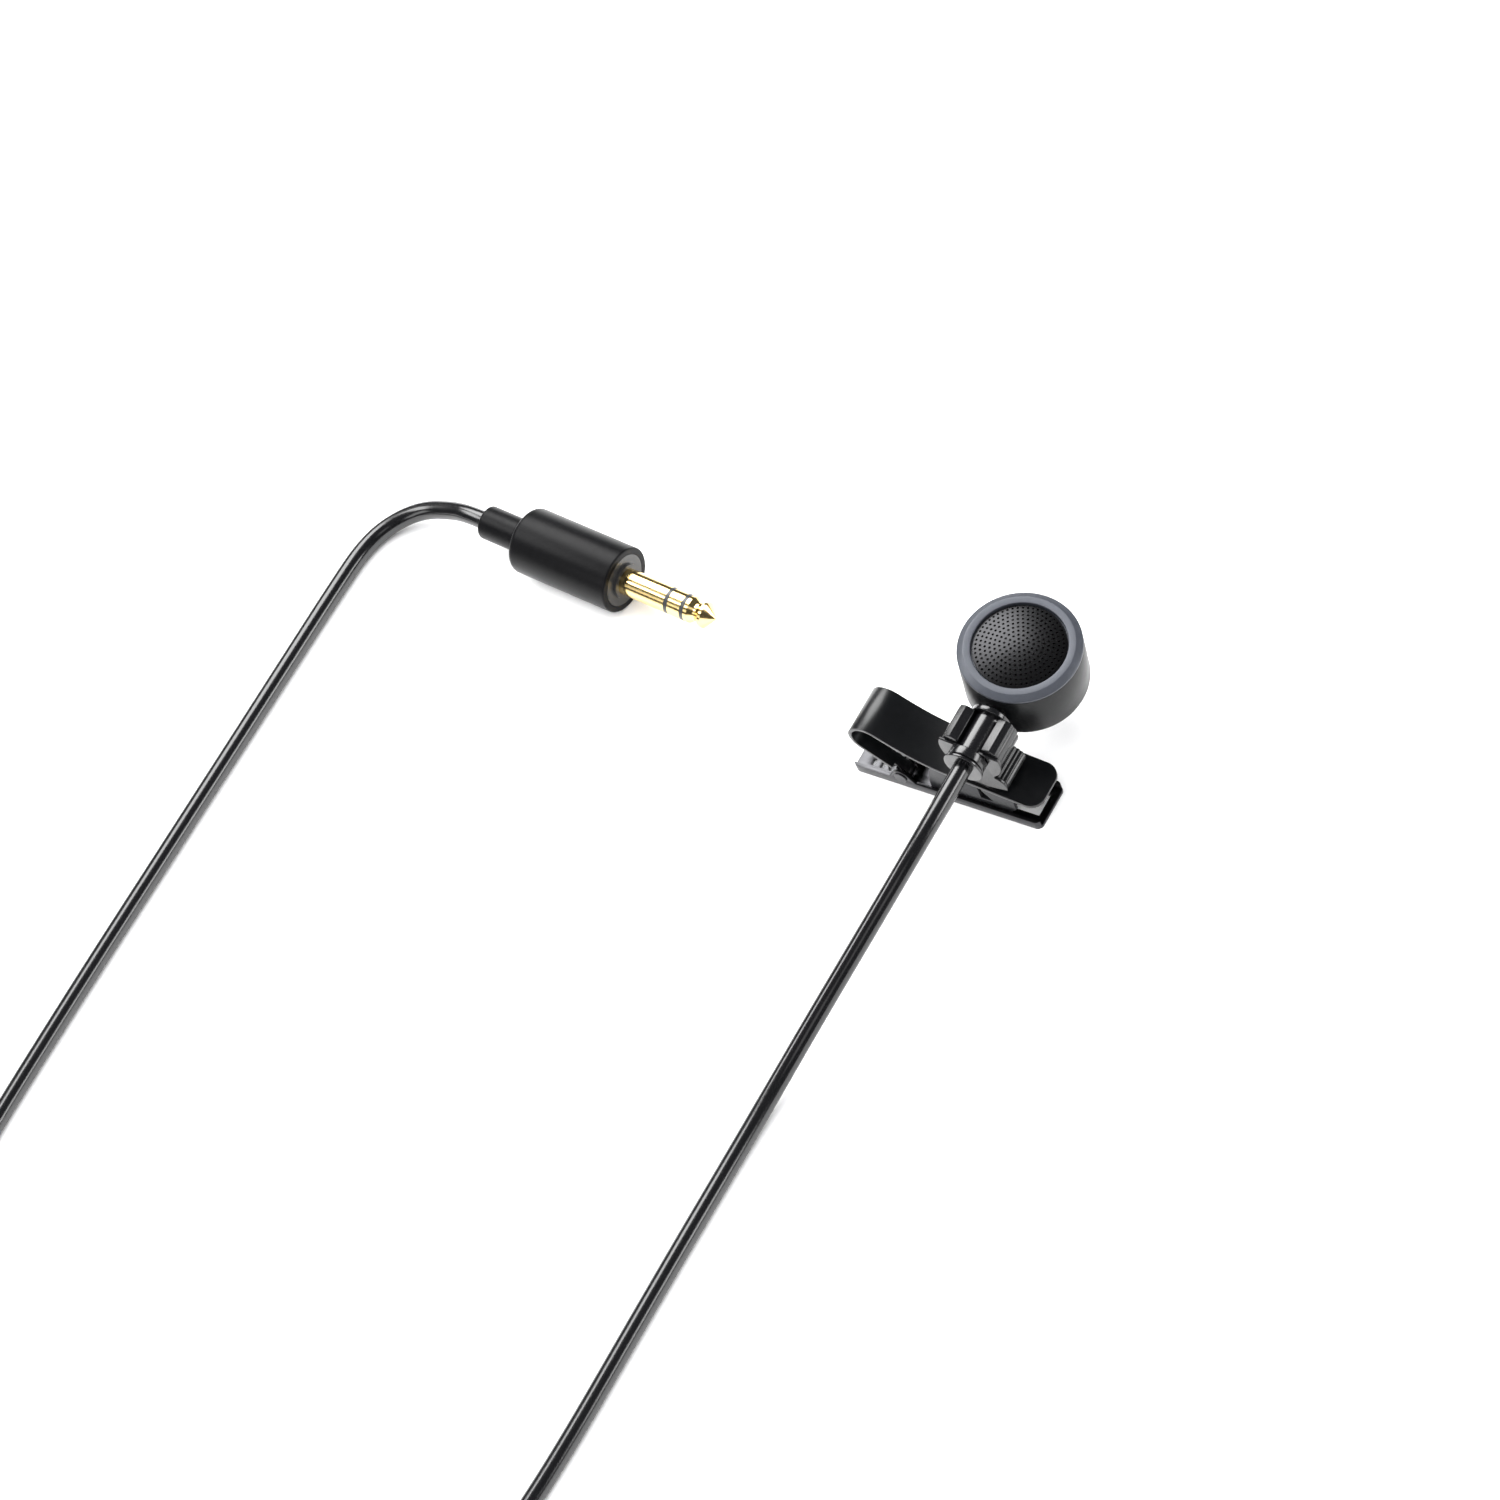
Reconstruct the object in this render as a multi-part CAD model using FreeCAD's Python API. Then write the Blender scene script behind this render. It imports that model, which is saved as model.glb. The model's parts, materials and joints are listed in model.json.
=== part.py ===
import FreeCAD, Part
import math
import os

from FreeCAD import Vector

# Lavalier microphone: a round capsule head on a short stem, held by a plastic
# holder on a spring-steel tie clip, with a thin cable that ends in a straight
# 3.5 mm plug. All sizes are in millimetres. The clip's lever lies flat on z = 0,
# +X runs towards the jaw's tip and +Y along the stem towards the head.

# --- clip -------------------------------------------------------------------
clip_y0 = -10.3            # near edge of the strap and the lever
clip_width = 6.4
clip_y1 = clip_y0 + clip_width
clip_ym = (clip_y0 + clip_y1) / 2

lever_x0 = -14.05
lever_x1 = 12.65
lever_thickness = 0.45
flange_height = 1.35
lever_corner = 0.8
pivot_x = -6.75
pivot_z = 2.05
ear_radius = 1.15
ear_half_base = 1.9
pin_radius = 0.6
pin_head_radius = 0.85
pin_head = 0.22
eye_clearance = 0.03
pad_slot_x = (-11.95, -10.67, -9.39)
pad_slot_pitch_y = 1.6
pad_slot_width = 0.5
pad_slot_length = 1.05
window_x0 = 8.0
window_x1 = 11.6
window_width = 3.2

strap_thickness = 0.48
strap_end_x = 13.55
strap_end_radius = 1.9
flat_slope = 8.0           # fall of the strap's flat part towards the tip, degrees
shoulder_slope = 32.0      # fall of its shoulder behind the holder
leg_slope = 37.7           # fall of the lower leg from the curl to the pivot
flat_x = 3.75
flat_z = 6.45              # top of the flat part at flat_x
bend_start_x = 1.48
bend_radius = 20.0
curl_x = -9.65
curl_z = 8.5
curl_radius = 2.7
leg_neck = 1.7             # length of the narrow part of the leg above the pivot
leg_neck_width = 5.2
leg_window_width = 2.4
leg_window_length = 2.9

insert_x0 = -2.9
insert_x1 = 9.45
insert_wall = 0.4
insert_gap = 0.07          # wall tops to the underside of the closed strap
insert_floor_x1 = 7.7
insert_rivet_x = (0.6, 5.8)

spring_wire = 0.3
spring_radius = 0.85
spring_turns = 3
spring_leg = 4.2

# --- holder -----------------------------------------------------------------
boom_x = 5.95              # axis of the stem
boom_z = 12.9
holder_tilt = flat_slope
holder_y0 = -10.0
holder_y1 = -4.9
holder_radius = 4.05
holder_bore = 1.88
holder_flange_radius = 4.25
holder_flange = 0.45
holder_flange_top = 1.35
holder_flutes = (24, 0, 156, 180)
holder_throat = 3.2        # the stem snaps in through this opening
holder_throat_z = 2.0
arm_ridge_x = 2.7          # the arms' tops slope both ways from a ridge
arm_ridge_z = 2.3
arm_outer_x = 4.6
arm_outer_z = 1.76
holder_flute_radius = 0.38
foot_u = 2.8
foot_v = -5.1
foot_radius = 1.6
foot_flutes = (67, 44, 20, -6)
rivet_u = (-1.1, 1.6)
rivet_radius = 0.7
rivet_head_radius = 1.15
rivet_head = 0.3

# --- stem -------------------------------------------------------------------
stem_radius = 1.85
stem_bore = 1.2            # the cable is held in it
cable_end_y = -3.1         # where its jacket ends, inside the head
collar_radius = 2.55
collar_y0 = -4.75
collar_y1 = -3.95
neck_radius = 1.5
stub_radius = 1.5
nut_y1 = -10.05
nut_y0 = -11.8
nut_radius = 2.45
nut_disc_radius = 2.6
nut_disc = 0.35
nut_groove_radius = 2.15
nut_groove = 0.2

# --- head -------------------------------------------------------------------
head_y = 4.2
head_radius = 7.75
head_bottom = -3.9         # heights along the head's axis, from the stem's
head_top = 4.05
head_lean = 7.4            # lean of the head's axis towards the jaw's tip, degrees
seam_z = 3.25
shell_wall = 0.8
bezel_inner = 6.0
bezel_flat = 6.9
bezel_bevel = 0.45
grille_radius = 5.85
grille_rim_z = 3.7
grille_rise = 0.85
grille_sheet = 0.25
grille_rings = 9
grille_pitch = 0.6
grille_hole = 0.16
felt_radius = 5.6
capsule_radius = 4.7
felt_z = 3.05
felt_thickness = 0.3
capsule_z0 = -0.3
capsule_z1 = 3.0
board_radius = 4.4
lead_diameter = 0.5

# --- cable ------------------------------------------------------------------
cable_diameter = 2.4
cable_radius = cable_diameter / 2
floor_z = cable_radius     # height of the cable's centre where it lies

# From the stem's nut down to the surface, then past the clip to the coil.
mic_route = [
    (5.95, -11.8, 12.9), (5.95, -18.0, 12.9), (5.2, -26.5, 11.6), (3.35, -35.5, 8.4),
    (1.25, -44.5, 4.8), (-0.2, -53.5, 2.2), (-0.8, -64.0, 1.2), (-0.95, -82.0, 1.2),
    (-0.85, -112.0, 1.2), (-2.6, -126.5, 1.2), (-9.5, -137.5, 1.2), (-20.0, -144.0, 1.2),
    (-29.0, -150.5, 1.2), (-33.4, -160.0, 3.3),
]
# From the coil back along the left side and round into the plug's boot.
plug_route = [
    (-58.6, -160.0, 5.5), (-60.2, -150.0, 2.9), (-66.5, -140.5, 1.2), (-77.5, -131.0, 1.2),
    (-88.0, -119.0, 1.2), (-93.0, -103.0, 1.2), (-93.2, -76.0, 1.2), (-92.7, -44.0, 1.2),
    (-92.4, -20.0, 1.2), (-92.25, -9.0, 1.2), (-91.95, -2.6, 1.25), (-90.2, 1.6, 1.55),
    (-86.6, 4.55, 2.4), (-81.9, 5.17, 3.55), (-78.74, 4.93, 4.35), (-75.95, 4.68, 4.35),
]

coil_x = -46.0
coil_y = -160.0
coil_inner = 8.75
coil_outer = 16.3
coil_height = 9.8
coil_turns = 10.5
tie_width = 5.0
tie_thickness = 0.45

# --- plug -------------------------------------------------------------------
plug_x = -75.95            # rear end of the boot
plug_y = 4.68
plug_turn = -5.2           # heading of the plug from +X, degrees
boot_radius = 2.2
boot_length = 6.6
boot_overlap = 3.0
barrel_radius = 4.35
barrel_length = 15.5
barrel_wall = 0.9
barrel_edge = 0.8
plug_z = barrel_radius
pin_r = 1.75               # standard 3.5 mm plug
pin_core = 1.0
insulator = 0.6
sleeve_length = 7.0
ring_length = 1.9
tip_length = 3.9

X = Vector(1, 0, 0)
Y = Vector(0, 1, 0)
Z = Vector(0, 0, 1)

# The holder's underside lies on the strap's flat part.
tilt = math.radians(holder_tilt)
holder_base = -(boom_x - flat_x) * math.sin(tilt) - (boom_z - flat_z) * math.cos(tilt)


# --- small shape tools --------------------------------------------------------
def box(x0, x1, y0, y1, z0, z1):
    return Part.makeBox(x1 - x0, y1 - y0, z1 - z0, Vector(x0, y0, z0))


def cylinder(radius, start, length, axis):
    return Part.makeCylinder(radius, length, Vector(*start), axis)


def tube_ring(outer, inner, start, length, axis):
    return cylinder(outer, start, length, axis).cut(cylinder(inner, start, length, axis))


def revolved(profile):
    """Solid of revolution about Z from a closed list of (radius, height)."""
    points = [Vector(radius, 0, height) for radius, height in profile]
    face = Part.Face(Part.makePolygon(points + points[:1]))
    return face.revolve(Vector(0, 0, 0), Z, 360)


def moved(shape, offset, axis=Z, angle=0.0):
    """Copy of a shape turned about an axis through the origin, then shifted."""
    copy = shape.copy()
    copy.rotate(Vector(0, 0, 0), axis, angle)
    copy.translate(Vector(*offset))
    return copy


def prism_y(edges, y0, y1):
    """Solid between y0 and y1 whose section in the XZ plane is a closed wire."""
    face = Part.Face(Part.Wire(edges))
    face.translate(Vector(0, y0, 0))
    return face.extrude(Vector(0, y1 - y0, 0))


def polygon_y(points, y0, y1):
    corners = [Vector(x, 0, z) for x, z in points]
    return prism_y(Part.makePolygon(corners + corners[:1]).Edges, y0, y1)


def line_xz(a, b):
    return Part.makeLine(Vector(a[0], 0, a[1]), Vector(b[0], 0, b[1]))


def arc_xz(a, middle, b):
    points = [Vector(p[0], 0, p[1]) for p in (a, middle, b)]
    return Part.Arc(*points).toShape()


def polar(centre, radius, degrees):
    angle = math.radians(degrees)
    return (centre[0] + radius * math.cos(angle), centre[1] + radius * math.sin(angle))


def write(name, shape):
    """Write one node's STEP; every solid in it has to be valid."""
    bad = [s for s in shape.Solids if not s.isValid() or s.Volume <= 0]
    print(f"{name}: {len(shape.Solids)} solid(s), {shape.Volume:.3f} mm3, valid {not bad}")
    single = shape.Solids[0] if len(shape.Solids) == 1 else Part.makeCompound(shape.Solids)
    single.exportStep(f"parts/{name}.step")


# --- cord tubes -----------------------------------------------------------------
def route_wire(points):
    """Straight runs joined by tangent arcs as large as their two runs allow."""
    corners = [Vector(*p) for p in points]
    edges = []
    radii = []
    start = corners[0]
    for before, corner, after in zip(corners, corners[1:], corners[2:]):
        back = before.sub(corner)
        ahead = after.sub(corner)
        turn = math.pi - back.getAngle(ahead)
        reach = 0.45 * min(back.Length, ahead.Length)
        radius = reach / math.tan(turn / 2)
        back.normalize()
        ahead.normalize()
        first = corner + back * reach
        last = corner + ahead * reach
        inward = (back + ahead).normalize()
        middle = corner + inward * (radius / math.cos(turn / 2) - radius)
        edges.append(Part.LineSegment(start, first).toShape())
        edges.append(Part.Arc(first, middle, last).toShape())
        radii.append(radius)
        start = last
    edges.append(Part.LineSegment(start, corners[-1]).toShape())
    return Part.Wire(edges), radii


def cord_tube(points, diameter, label):
    wire, radii = route_wire(points)
    heading = Vector(*points[1]).sub(Vector(*points[0]))
    section = Part.Wire(Part.makeCircle(diameter / 2, Vector(*points[0]), heading))
    solid = wire.makePipeShell([section], True, False)
    expected = math.pi * diameter ** 2 / 4 * wire.Length
    print(f"{label}: length {wire.Length:.1f}, volume {solid.Volume:.1f} of {expected:.1f}, "
          f"radii {[round(r, 1) for r in radii]}")
    return solid


# --- clip strap -------------------------------------------------------------------
def strap_path():
    """Edges of the strap's section: outer surface out, inner surface back."""
    rise = math.tan(math.radians(flat_slope))
    tip_z = flat_z - rise * (strap_end_x - flat_x)
    bend_z = flat_z - rise * (bend_start_x - flat_x)
    bend = polar((bend_start_x, bend_z), bend_radius, 90 - flat_slope)
    curl = (curl_x, curl_z)
    pivot = (pivot_x, pivot_z)
    eye = pin_radius + eye_clearance
    flat_normal = 270 - flat_slope
    shoulder_normal = 270 - shoulder_slope
    leg_angle = 90 - leg_slope
    edges = []
    ends = []
    for depth in (0.0, strap_thickness):
        tip = polar((strap_end_x, tip_z), depth, flat_normal)
        bend_a = polar(bend, bend_radius + depth, flat_normal)
        bend_m = polar(bend, bend_radius + depth, (flat_normal + shoulder_normal) / 2)
        bend_b = polar(bend, bend_radius + depth, shoulder_normal)
        curl_r = curl_radius - depth
        curl_a = polar(curl, curl_r, 90 - shoulder_slope)
        curl_m = polar(curl, curl_r, 165)
        curl_b = polar(curl, curl_r, 180 + leg_angle)
        eye_r = eye + depth
        eye_a = polar(pivot, eye_r, leg_angle)
        eye_m = polar(pivot, eye_r, leg_angle - 125)
        eye_b = polar(pivot, eye_r, leg_angle - 250)
        edges.append([line_xz(tip, bend_a), arc_xz(bend_a, bend_m, bend_b), line_xz(bend_b, curl_a),
                      arc_xz(curl_a, curl_m, curl_b), line_xz(curl_b, eye_a),
                      arc_xz(eye_a, eye_m, eye_b)])
        ends.append((tip, eye_b))
    joined = edges[0] + edges[1]
    joined.append(line_xz(ends[0][0], ends[1][0]))
    joined.append(line_xz(ends[0][1], ends[1][1]))
    return Part.__sortEdges__(joined)


def along_leg(shape_length, width, start):
    """Box along the lower leg, from a distance up the leg beside the pivot."""
    block = box(-start - shape_length, -start, -width / 2, width / 2, -1.0, 3.0)
    return moved(block, (pivot_x, clip_ym, pivot_z), Y, leg_slope)


def make_strap():
    solid = prism_y(strap_path(), clip_y0, clip_y1)
    outline = box(-20, strap_end_x, clip_y0, clip_y1, -5, 20)
    corners = [e for e in outline.Edges if abs(e.BoundBox.XMin - strap_end_x) < 1e-6
               and e.BoundBox.ZLength > 20]
    solid = solid.common(outline.makeFillet(strap_end_radius, corners))
    spare = (clip_width - leg_neck_width) / 2
    for y0 in (clip_y0 - 1, clip_y1 - spare):
        side = box(-leg_neck, 2.0, y0, y0 + spare + 1, -2.0, 1.9)
        side.rotate(Vector(0, 0, 0), Y, leg_slope)
        side.translate(Vector(pivot_x, 0, pivot_z))
        solid = solid.cut(side)
    solid = solid.cut(along_leg(leg_window_length + 1.5, leg_window_width, -1.5))
    for u in rivet_u:
        solid = solid.cut(in_holder(cylinder(rivet_radius, (u, clip_ym, holder_base - 1), 2, Z)))
    return solid


# --- holder -------------------------------------------------------------------
def in_holder(shape):
    """Carry a shape from the holder's own frame, centred on the stem's axis."""
    return moved(shape, (boom_x, 0, boom_z), Y, holder_tilt)


def make_holder():
    length = holder_y1 - holder_y0
    start = (0, holder_y0, 0)
    ring = cylinder(holder_radius, start, length, Y)
    web = box(-2.3, 2.7, holder_y0, holder_y1, holder_base, -1.0)
    foot_side = foot_u + foot_radius
    base = box(-2.7, foot_side, holder_y0, holder_y1, holder_base, holder_base + 0.6)
    foot = cylinder(foot_radius, (foot_u, holder_y0, foot_v), length, Y)
    toe = box(foot_u, foot_side, holder_y0, holder_y1, holder_base, foot_v)
    throat = holder_throat / 2
    half = [(throat, 0.9), (throat, holder_throat_z), (arm_ridge_x, arm_ridge_z),
            (arm_outer_x, arm_outer_z), (arm_outer_x, 6)]
    other_half = [(-x, z) for x, z in reversed(half)]
    mouth = polygon_y(half + other_half, holder_y0 - 1, holder_y1 + 1)
    body = ring.fuse([web, base, foot, toe]).cut(mouth)
    for angle in holder_flutes:
        u, v = polar((0, 0), holder_radius + 0.12, angle)
        body = body.cut(cylinder(holder_flute_radius, (u, holder_y0 - 1, v), length + 2, Y))
    for angle in foot_flutes:
        u, v = polar((foot_u, foot_v), foot_radius + 0.05, angle)
        body = body.cut(cylinder(0.22, (u, holder_y0 - 1, v), length + 2, Y))
    recess = box(-6, 6, holder_y0 - 1, holder_y0 + holder_flange, holder_flange_top, 6)
    flange = cylinder(holder_flange_radius, start, holder_flange, Y)
    body = body.fuse(flange.cut(mouth)).cut(recess)
    body = body.cut(cylinder(holder_bore, (0, holder_y0 - 1, 0), length + 2, Y))
    for u in rivet_u:
        body = body.cut(cylinder(rivet_radius, (u, clip_ym, holder_base - 1), 2.8, Z))
    return in_holder(body.removeSplitter())


def make_holder_rivets():
    rivets = []
    strap_under = holder_base - strap_thickness
    for u in rivet_u:
        shank = cylinder(rivet_radius, (u, clip_ym, strap_under), strap_thickness + 1.8, Z)
        head = cylinder(rivet_head_radius, (u, clip_ym, strap_under - rivet_head), rivet_head, Z)
        rim = [e for e in head.Edges if abs(e.BoundBox.ZMax - strap_under + rivet_head) < 1e-6]
        rivets.append(in_holder(shank.fuse(head.makeFillet(0.2, rim))))
    return Part.makeCompound(rivets)


# --- lever and its jaw insert -------------------------------------------------------
def ear(y0):
    """Rounded ear of the lever with the hole for the pivot pin."""
    left = (pivot_x - ear_half_base, flange_height)
    right = (pivot_x + ear_half_base, flange_height)
    top_left = polar((pivot_x, pivot_z), ear_radius, 150)
    top_right = polar((pivot_x, pivot_z), ear_radius, 30)
    top = polar((pivot_x, pivot_z), ear_radius, 90)
    low_left = (left[0], 0.2)
    low_right = (right[0], 0.2)
    edges = [line_xz(low_left, left), line_xz(left, top_left), arc_xz(top_left, top, top_right),
             line_xz(top_right, right), line_xz(right, low_right), line_xz(low_right, low_left)]
    solid = prism_y(edges, y0, y0 + lever_thickness)
    return solid.cut(cylinder(pin_radius, (pivot_x, y0 - 1, pivot_z), 3, Y))


def slot(x, y):
    half = (pad_slot_length - pad_slot_width) / 2
    radius = pad_slot_width / 2
    middle = box(x - radius, x + radius, y - half, y + half, -1, 1)
    ends = [cylinder(radius, (x, y + end, -1), 2, Z) for end in (-half, half)]
    return middle.fuse(ends)


def make_lever():
    outer = box(lever_x0, lever_x1, clip_y0, clip_y1, 0, flange_height)
    upright = [e for e in outer.Edges if e.BoundBox.ZLength > flange_height / 2]
    outer = outer.makeFillet(lever_corner, upright)
    inner = box(lever_x0 - 1, lever_x1 + 1, clip_y0 + lever_thickness, clip_y1 - lever_thickness,
                lever_thickness, 10)
    solid = outer.cut(inner)
    for y0 in (clip_y0, clip_y1 - lever_thickness):
        solid = solid.fuse(ear(y0))
    window = box(window_x0, window_x1, clip_ym - window_width / 2, clip_ym + window_width / 2, -1, 2)
    solid = solid.cut(window)
    for x in pad_slot_x:
        for row in (-1, 0, 1):
            solid = solid.cut(slot(x, clip_ym + row * pad_slot_pitch_y))
    for x in insert_rivet_x:
        solid = solid.cut(cylinder(0.5, (x, clip_ym, -1), 3, Z))
    return solid.removeSplitter()


def strap_under(x, gap):
    """Height of the closed strap's underside at x, less a gap."""
    depth = strap_thickness + gap
    rise = math.tan(math.radians(flat_slope))
    bend_z = flat_z - rise * (bend_start_x - flat_x)
    centre = polar((bend_start_x, bend_z), bend_radius, 90 - flat_slope)
    if x >= bend_start_x:
        return flat_z - rise * (x - flat_x) - depth / math.cos(math.radians(flat_slope))
    return centre[1] - math.sqrt((bend_radius + depth) ** 2 - (x - centre[0]) ** 2)


def make_insert():
    crown_x = insert_x0 + 1.75

    def top(x):
        return (x, strap_under(x, insert_gap))

    bend_middle = (crown_x + bend_start_x) / 2
    edges = [
        arc_xz((insert_x0, lever_thickness), (insert_x0 + 0.25, 3.5), top(crown_x)),
        arc_xz(top(crown_x), top(bend_middle), top(bend_start_x)),
        line_xz(top(bend_start_x), top(4.5)),
        line_xz(top(4.5), (4.5, 2.4)),
        line_xz((4.5, 2.4), (6.3, 2.4)),
        line_xz((6.3, 2.4), (5.0, 4.2)),
        line_xz((5.0, 4.2), top(4.9)),
        line_xz(top(4.9), top(insert_x1)),
        line_xz(top(insert_x1), (insert_x1, 2.2)),
        line_xz((insert_x1, 2.2), (insert_floor_x1, lever_thickness)),
        line_xz((insert_floor_x1, lever_thickness), (insert_x0, lever_thickness)),
    ]
    outer = clip_width / 2 - lever_thickness - 0.1
    floor = box(insert_x0 + 0.3, insert_floor_x1 - 0.3, clip_ym - outer, clip_ym + outer,
                lever_thickness, lever_thickness + insert_wall)
    solid = floor
    for y0 in (clip_ym - outer, clip_ym + outer - insert_wall):
        solid = solid.fuse(prism_y(edges, y0, y0 + insert_wall))
    for x in insert_rivet_x:
        solid = solid.cut(cylinder(0.5, (x, clip_ym, -1), 3, Z))
    return solid.removeSplitter()


def make_insert_rivets():
    top = lever_thickness + insert_wall
    rivets = []
    for x in insert_rivet_x:
        shank = cylinder(0.5, (x, clip_ym, 0), top, Z)
        head = Part.makeSphere(1.0, Vector(x, clip_ym, top - 0.65))
        head = head.common(box(x - 2, x + 2, clip_ym - 2, clip_ym + 2, top, top + 1))
        rivets.append(shank.fuse(head))
    return Part.makeCompound(rivets)


def make_pin():
    pin = cylinder(pin_radius, (pivot_x, clip_y0, pivot_z), clip_width, Y)
    for y0, rim_y in ((clip_y0 - pin_head, clip_y0 - pin_head), (clip_y1, clip_y1 + pin_head)):
        head = cylinder(pin_head_radius, (pivot_x, y0, pivot_z), pin_head, Y)
        rim = [e for e in head.Edges if abs(e.BoundBox.YMin - rim_y) < 1e-6
               and e.BoundBox.YLength < 1e-6]
        pin = pin.fuse(head.makeFillet(0.12, rim))
    return pin


def make_spring():
    pitch = spring_wire * 1.08
    height = pitch * spring_turns
    helix = Part.makeHelix(pitch, height, spring_radius)
    section = Part.Wire(Part.makeCircle(spring_wire / 2, Vector(spring_radius, 0, 0), Y))
    coil = Part.Wire(helix).makePipeShell([section], True, True)
    # Turn the coil's axis from Z to Y, so that both ends leave at the same side.
    coil.rotate(Vector(0, 0, 0), X, -90)
    coil.rotate(Vector(0, 0, 0), Y, 35)
    coil.translate(Vector(pivot_x, clip_ym - height / 2, pivot_z))
    legs = []
    for y, foot_angle, heading in ((clip_ym - height / 2, 59.3, 149.3),
                                   (clip_ym + height / 2, 278.0, 188.0)):
        foot = polar((pivot_x, pivot_z), spring_radius, foot_angle)
        angle = math.radians(heading)
        axis = Vector(math.cos(angle), 0, math.sin(angle))
        legs.append(cylinder(spring_wire / 2, (foot[0], y, foot[1]), spring_leg, axis))
    return coil.fuse(legs)


# --- stem and head ----------------------------------------------------------------
def make_stem():
    wall_inside = head_y - head_radius + shell_wall
    parts = [
        cylinder(stub_radius, (0, nut_y0 + 0.6, 0), nut_y1 - nut_y0 - 0.6, Y),
        cylinder(stem_radius, (0, nut_y1, 0), collar_y0 - nut_y1, Y),
        cylinder(neck_radius, (0, collar_y1, 0), wall_inside - collar_y1 + 0.3, Y),
    ]
    collar = cylinder(collar_radius, (0, collar_y0, 0), collar_y1 - collar_y0, Y)
    rims = [e for e in collar.Edges if e.BoundBox.YLength < 1e-6]
    stem = collar.makeFillet(0.2, rims).fuse(parts)
    stem = stem.cut(cylinder(stem_bore, (0, -20, 0), 40, Y))
    return moved(stem.removeSplitter(), (boom_x, 0, boom_z))


def make_nut():
    disc_y1 = nut_y0 + nut_disc
    ring_y0 = disc_y1 + nut_groove
    disc = cylinder(nut_disc_radius, (0, nut_y0, 0), nut_disc, Y)
    edge = [e for e in disc.Edges if abs(e.BoundBox.YMax - nut_y0) < 1e-6]
    disc = disc.makeChamfer(0.12, edge)
    groove = cylinder(nut_groove_radius, (0, disc_y1, 0), nut_groove, Y)
    ring = cylinder(nut_radius, (0, ring_y0, 0), nut_y1 - ring_y0, Y)
    rims = [e for e in ring.Edges if e.BoundBox.YLength < 1e-6]
    nut = ring.makeFillet(0.15, rims).fuse([disc, groove])
    nut = nut.cut(cylinder(stub_radius, (0, nut_y0 + 0.6, 0), 5, Y))
    nut = nut.cut(cylinder(stem_bore, (0, nut_y0 - 1, 0), 5, Y))
    return moved(nut.removeSplitter(), (boom_x, 0, boom_z))


def in_head(shape):
    """Carry a shape from the head's own frame, centred in the head, axis up."""
    return moved(shape, (boom_x, head_y, boom_z), Y, head_lean)


def make_shell():
    inner = head_radius - shell_wall
    profile = [(0, head_bottom), (head_radius - 0.5, head_bottom),
               (head_radius - 0.15, head_bottom + 0.15), (head_radius, head_bottom + 0.5),
               (head_radius, seam_z), (inner, seam_z), (inner, head_bottom + shell_wall),
               (0, head_bottom + shell_wall)]
    shell = revolved(profile)
    hole = cylinder(neck_radius, (0, -head_radius - 1, 0), 3, Y)
    return in_head(shell.cut(hole))


def make_bezel():
    inner = head_radius - shell_wall
    profile = [(bezel_inner, head_top), (bezel_flat, head_top), (head_radius, head_top - bezel_bevel),
               (head_radius, seam_z + 0.05), (inner, seam_z + 0.05), (inner, seam_z - 0.6),
               (inner - 0.5, seam_z - 0.6), (inner - 0.5, grille_rim_z - 0.45),
               (bezel_inner - 0.4, grille_rim_z - 0.45), (bezel_inner - 0.4, grille_rim_z - 0.3),
               (bezel_inner, grille_rim_z - 0.3)]
    return in_head(revolved(profile))


def make_grille():
    """Domed disc with rings of round holes, six more in each ring outwards."""
    radius = (grille_radius ** 2 + grille_rise ** 2) / (2 * grille_rise)
    centre = Vector(0, 0, grille_rim_z + grille_rise - radius)
    dome = Part.makeSphere(radius, centre).cut(Part.makeSphere(radius - grille_sheet, centre))
    drum = cylinder(grille_radius, (0, 0, grille_rim_z - 0.3), 3, Z)
    dome = dome.common(drum)
    holes = [cylinder(grille_hole, (0, 0, 1), 4, Z)]
    for ring in range(1, grille_rings + 1):
        for step in range(6 * ring):
            x, y = polar((0, 0), ring * grille_pitch, 360 * step / (6 * ring))
            holes.append(cylinder(grille_hole, (x, y, 1), 4, Z))
    return in_head(dome.cut(Part.makeCompound(holes)))


def make_leads():
    """Two insulated wires from the cable's end to the capsule's board."""
    wires = []
    for side in (-1, 1):
        route = [(0.5 * side, cable_end_y - head_y, 0.0), (0.6 * side, -6.3, -0.2),
                 (0.9 * side, -5.5, -0.7), (1.2 * side, -4.9, -0.95), (1.4 * side, -3.6, -0.95)]
        wires.append(in_head(cord_tube(route, lead_diameter, "lead")))
    return Part.makeCompound(wires)


# --- plug -------------------------------------------------------------------------
def in_plug(shape):
    """Carry a shape from the plug's own frame, whose X axis starts at the boot."""
    return moved(shape, (plug_x, plug_y, plug_z), Z, plug_turn)


def revolved_x(profile):
    """Solid of revolution about X from a closed list of (distance, radius)."""
    points = [Vector(x, 0, radius) for x, radius in profile]
    face = Part.Face(Part.makePolygon(points + points[:1]))
    return face.revolve(Vector(0, 0, 0), X, 360)


def make_boot():
    end = boot_length + boot_overlap
    profile = [(0, cable_radius), (0, boot_radius - 0.25), (0.25, boot_radius), (boot_length, boot_radius),
               (end, boot_radius), (end, cable_radius)]
    return in_plug(revolved_x(profile))


def make_barrel():
    x0 = boot_length
    x1 = boot_length + barrel_length
    inner = barrel_radius - barrel_wall
    profile = [(x0, boot_radius), (x0, barrel_radius - barrel_edge),
               (x0 + 0.25 * barrel_edge, barrel_radius - 0.25 * barrel_edge),
               (x0 + barrel_edge, barrel_radius), (x1 - 0.25, barrel_radius), (x1, barrel_radius - 0.25),
               (x1, inner), (x0 + 1.2, inner), (x0 + 1.2, boot_radius)]
    return in_plug(revolved_x(profile))


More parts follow.
